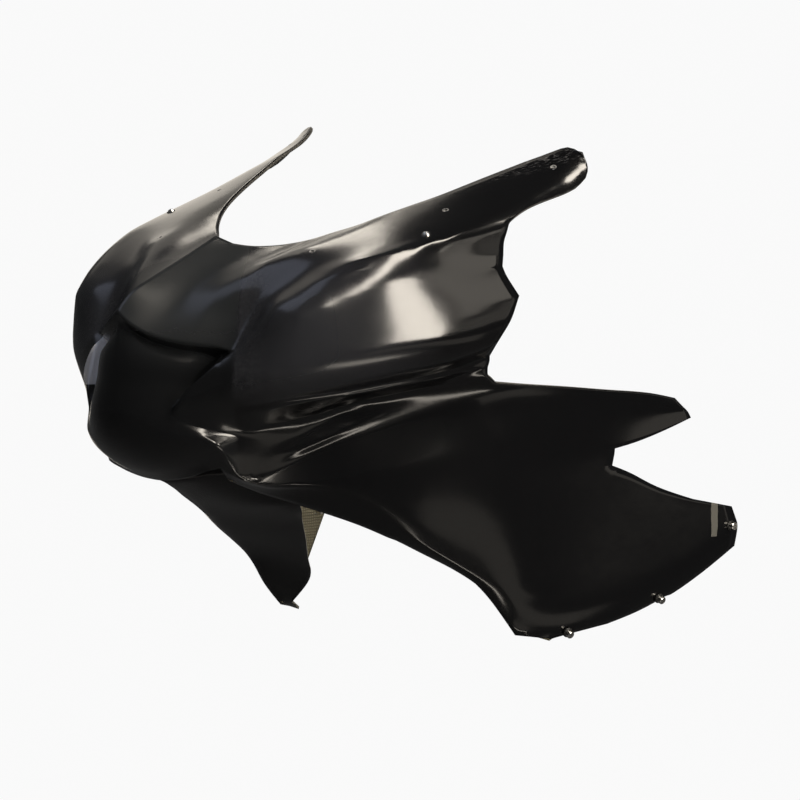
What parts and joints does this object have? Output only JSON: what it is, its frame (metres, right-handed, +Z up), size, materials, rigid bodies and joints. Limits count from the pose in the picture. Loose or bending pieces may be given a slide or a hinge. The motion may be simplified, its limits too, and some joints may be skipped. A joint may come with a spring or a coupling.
{
  "type": "motorcycle fairing",
  "caption": "Upper race fairing for a sports motorcycle: a thin moulded shell with a pointed nose, side bands and drooping side panels.",
  "frame": {"origin": "middle of the bounding box, on the centre plane of the motorcycle", "axes": "+X towards the motorcycle's left side, +Y towards its rear, +Z up"},
  "size_m": [0.516, 0.7119, 0.526],
  "materials": {
    "shell": "black gel coat on glass fibre",
    "stud_grommets": "black rubber",
    "edge_studs": "turned",
    "stay_cups": "bright",
    "stay_screws": "bright"
  },
  "bodies": {
    "root": {"shell": "shell", "stud_grommets": "stud_grommets", "edge_studs": "edge_studs", "stay_cups": "stay_cups", "stay_screws": "stay_screws"}
  },
  "joints": []
}
